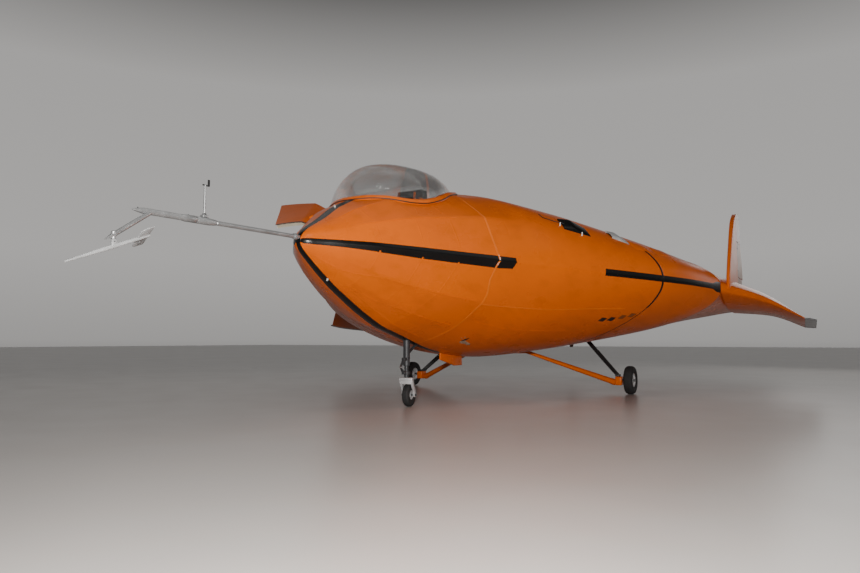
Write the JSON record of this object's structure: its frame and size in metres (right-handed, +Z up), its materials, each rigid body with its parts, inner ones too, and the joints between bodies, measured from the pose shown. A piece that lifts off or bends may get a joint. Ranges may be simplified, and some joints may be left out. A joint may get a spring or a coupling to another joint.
{
  "type": "lifting body aircraft",
  "caption": "Deltoid lifting body research aircraft with a bubble canopy, drooped tips, fins, a nose boom and a pusher propeller.",
  "frame": {"origin": "centre of the bounding box on the floor, under the tyres", "axes": "+Z up, nose towards -Y, port side towards +X"},
  "size_m": [7.03, 8.783, 2.33],
  "materials": {
    "hull_orange": "glossy paint over doped fabric",
    "stripe_black": "satin",
    "canopy_clear": "clear blown plastic",
    "tyre_rubber": "matte",
    "silver_tube": "brushed",
    "light_grey": "satin",
    "dark_steel": "satin",
    "prop_wood": "varnished laminated wood",
    "seat_cloth": "woven",
    "black_vinyl": "grained vinyl"
  },
  "bodies": {
    "airframe": {"hull_nose": "hull_orange", "hull_mid": "hull_orange", "hull_aft": "hull_orange", "canopy_bubble": "canopy_clear", "canopy_lip": "hull_orange", "seat_base": "light_grey", "seat_cushion": "seat_cloth", "seat_back": "black_vinyl", "headrest": "black_vinyl", "instrument_panel": "dark_steel", "control_stick": "dark_steel", "boom_tube": "silver_tube", "boom_sleeve": "silver_tube", "vane_mast": "silver_tube", "boom_arm": "silver_tube", "air_data_head": "light_grey", "nose_leg": "dark_steel", "axle_port": "dark_steel", "axle_starboard": "dark_steel", "main_strut_port": "hull_orange", "main_strut_starboard": "hull_orange", "shock_struts_port": "stripe_black", "shock_struts_starboard": "stripe_black", "tip_panel_port": "hull_orange", "tip_panel_starboard": "hull_orange", "tip_cap_port": "dark_steel", "tip_cap_starboard": "dark_steel", "fin_port": "hull_orange", "fin_starboard": "hull_orange", "engine_block": "dark_steel", "side_scoop": "stripe_black", "edge_scoop": "light_grey", "belly_keel": "hull_orange"},
    "steering_fork": {"nose_fork": "light_grey"},
    "nose_wheel": {"nose_hub": "light_grey", "nose_tyre": "tyre_rubber"},
    "main_wheel_port": {"main_hub_port": "light_grey", "main_tyre_port": "tyre_rubber"},
    "main_wheel_starboard": {"main_hub_starboard": "light_grey", "main_tyre_starboard": "tyre_rubber"},
    "hatch": {"cockpit_hatch": "hull_orange"},
    "rudder_p": {"rudder_port": "hull_orange"},
    "rudder_s": {"rudder_starboard": "hull_orange"},
    "elevon_p": {"elevon_port": "hull_orange"},
    "elevon_s": {"elevon_starboard": "hull_orange"},
    "propeller_body": {"propeller": "prop_wood", "propeller_spinner": "silver_tube"}
  },
  "joints": [
    {"name": "nose_steer", "type": "hinge", "parent": "airframe", "child": "steering_fork", "pos_m": [0, -0.909, 0.284], "axis": [0, 0, 1], "range_deg": [-40, 20]},
    {"name": "nose_wheel_spin", "type": "hinge", "parent": "steering_fork", "child": "nose_wheel", "pos_m": [-0.01129, -0.84499, 0.113], "axis": [0.9848, 0.1736, 0], "continuous": true},
    {"name": "main_wheel_port_spin", "type": "hinge", "parent": "airframe", "child": "main_wheel_port", "pos_m": [1.54, 1.721, 0.168], "axis": [1, 0, 0], "continuous": true},
    {"name": "main_wheel_starboard_spin", "type": "hinge", "parent": "airframe", "child": "main_wheel_starboard", "pos_m": [-1.54, 1.721, 0.168], "axis": [1, 0, 0], "continuous": true},
    {"name": "hatch_hinge", "type": "hinge", "parent": "airframe", "child": "hatch", "pos_m": [-0.44, -1.869, 1.7039], "axis": [-0.2898, 0.9174, 0.2728], "range_deg": [-66, 0]},
    {"name": "rudder_port_hinge", "type": "hinge", "parent": "airframe", "child": "rudder_p", "pos_m": [2.68, 2.451, 1.64], "axis": [0, 0, 1], "range_deg": [-22, 28]},
    {"name": "rudder_starboard_hinge", "type": "hinge", "parent": "airframe", "child": "rudder_s", "pos_m": [-2.68, 2.451, 1.64], "axis": [0, 0, 1], "range_deg": [-22, 28]},
    {"name": "elevon_port_hinge", "type": "hinge", "parent": "airframe", "child": "elevon_p", "pos_m": [0.64, 3.721, 1.11036], "axis": [1, 0, -0.0009], "range_deg": [-20, 25]},
    {"name": "elevon_starboard_hinge", "type": "hinge", "parent": "airframe", "child": "elevon_s", "pos_m": [-0.64, 3.721, 1.11036], "axis": [1, 0, 0.0009], "range_deg": [-20, 25]},
    {"name": "propeller_spin", "type": "hinge", "parent": "airframe", "child": "propeller_body", "pos_m": [0, 4.233, 1.33], "axis": [0, 1, 0], "continuous": true}
  ]
}
